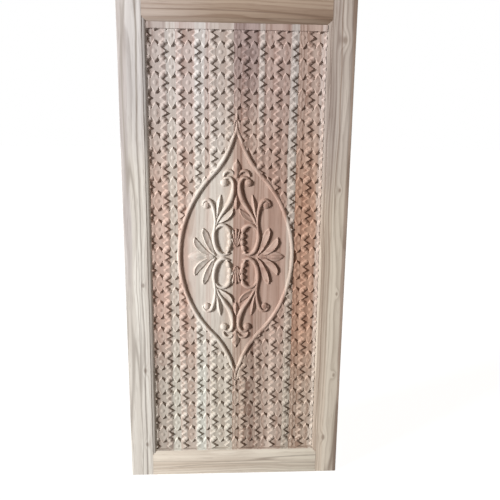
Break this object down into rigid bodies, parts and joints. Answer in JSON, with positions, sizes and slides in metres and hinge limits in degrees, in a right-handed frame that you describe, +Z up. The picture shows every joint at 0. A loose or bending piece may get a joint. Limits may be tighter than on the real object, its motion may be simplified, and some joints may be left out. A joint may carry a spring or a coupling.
{
  "type": "wooden door",
  "caption": "Tall panelled door leaf in bare teak: a plain stile-and-rail frame round one carved panel with a flower lattice and a pointed medallion of scrolls.",
  "frame": {"origin": "middle of the leaf's foot, halfway through its thickness", "axes": "+X across the leaf to the right as seen from the carved face, +Y from the carved face to the back, +Z up"},
  "size_m": [0.915, 0.04, 2.03],
  "materials": {
    "stile_left": "bare sanded teak, unvarnished",
    "stile_right": "bare sanded teak, unvarnished",
    "rail_top": "bare sanded teak, unvarnished",
    "rail_bottom": "bare sanded teak, unvarnished",
    "panel_board_1": "bare sanded teak, unvarnished",
    "panel_board_2": "bare sanded teak, unvarnished",
    "panel_board_3": "bare sanded teak, unvarnished",
    "panel_board_4": "bare sanded teak, unvarnished",
    "panel_board_5": "bare sanded teak, unvarnished",
    "panel_board_6": "bare sanded teak, unvarnished",
    "tenon_wedges": "bare sanded teak, unvarnished"
  },
  "bodies": {
    "root": {"stile_left": "stile_left", "stile_right": "stile_right", "rail_top": "rail_top", "rail_bottom": "rail_bottom", "panel_board_1": "panel_board_1", "panel_board_2": "panel_board_2", "panel_board_3": "panel_board_3", "panel_board_4": "panel_board_4", "panel_board_5": "panel_board_5", "panel_board_6": "panel_board_6", "tenon_wedges": "tenon_wedges"}
  },
  "joints": []
}
